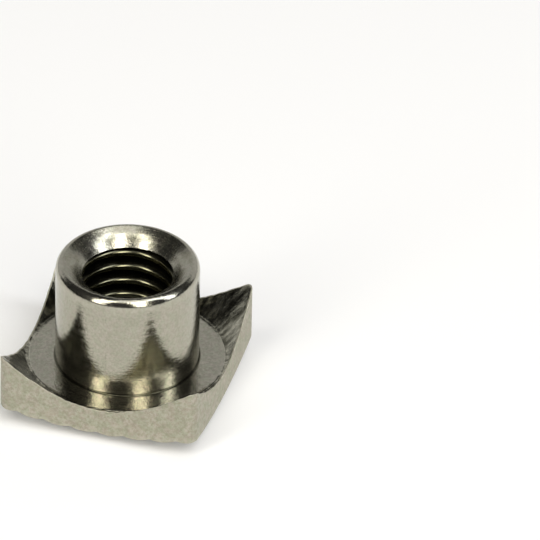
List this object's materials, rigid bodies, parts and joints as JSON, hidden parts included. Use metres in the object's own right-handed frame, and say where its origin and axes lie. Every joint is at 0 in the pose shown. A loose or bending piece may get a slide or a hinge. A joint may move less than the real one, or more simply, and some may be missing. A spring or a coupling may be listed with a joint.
{
  "type": "knurled nut",
  "caption": "Threaded round barrel on a square flange with raised corners, a flat spot face and a domed, ribbed underside.",
  "frame": {"origin": "on the bore's axis, at the height of the lowest ribs, which the nut stands on", "axes": "+Z along the bore's axis, from the flange to the barrel's open end; the ribs run along X"},
  "size_m": [0.0152, 0.0152, 0.011],
  "materials": {
    "plated_steel": "bright plated steel, turned and polished on the barrel, matte and pressed on the flange's edges"
  },
  "bodies": {
    "root": {"nut": "plated_steel"}
  },
  "joints": []
}
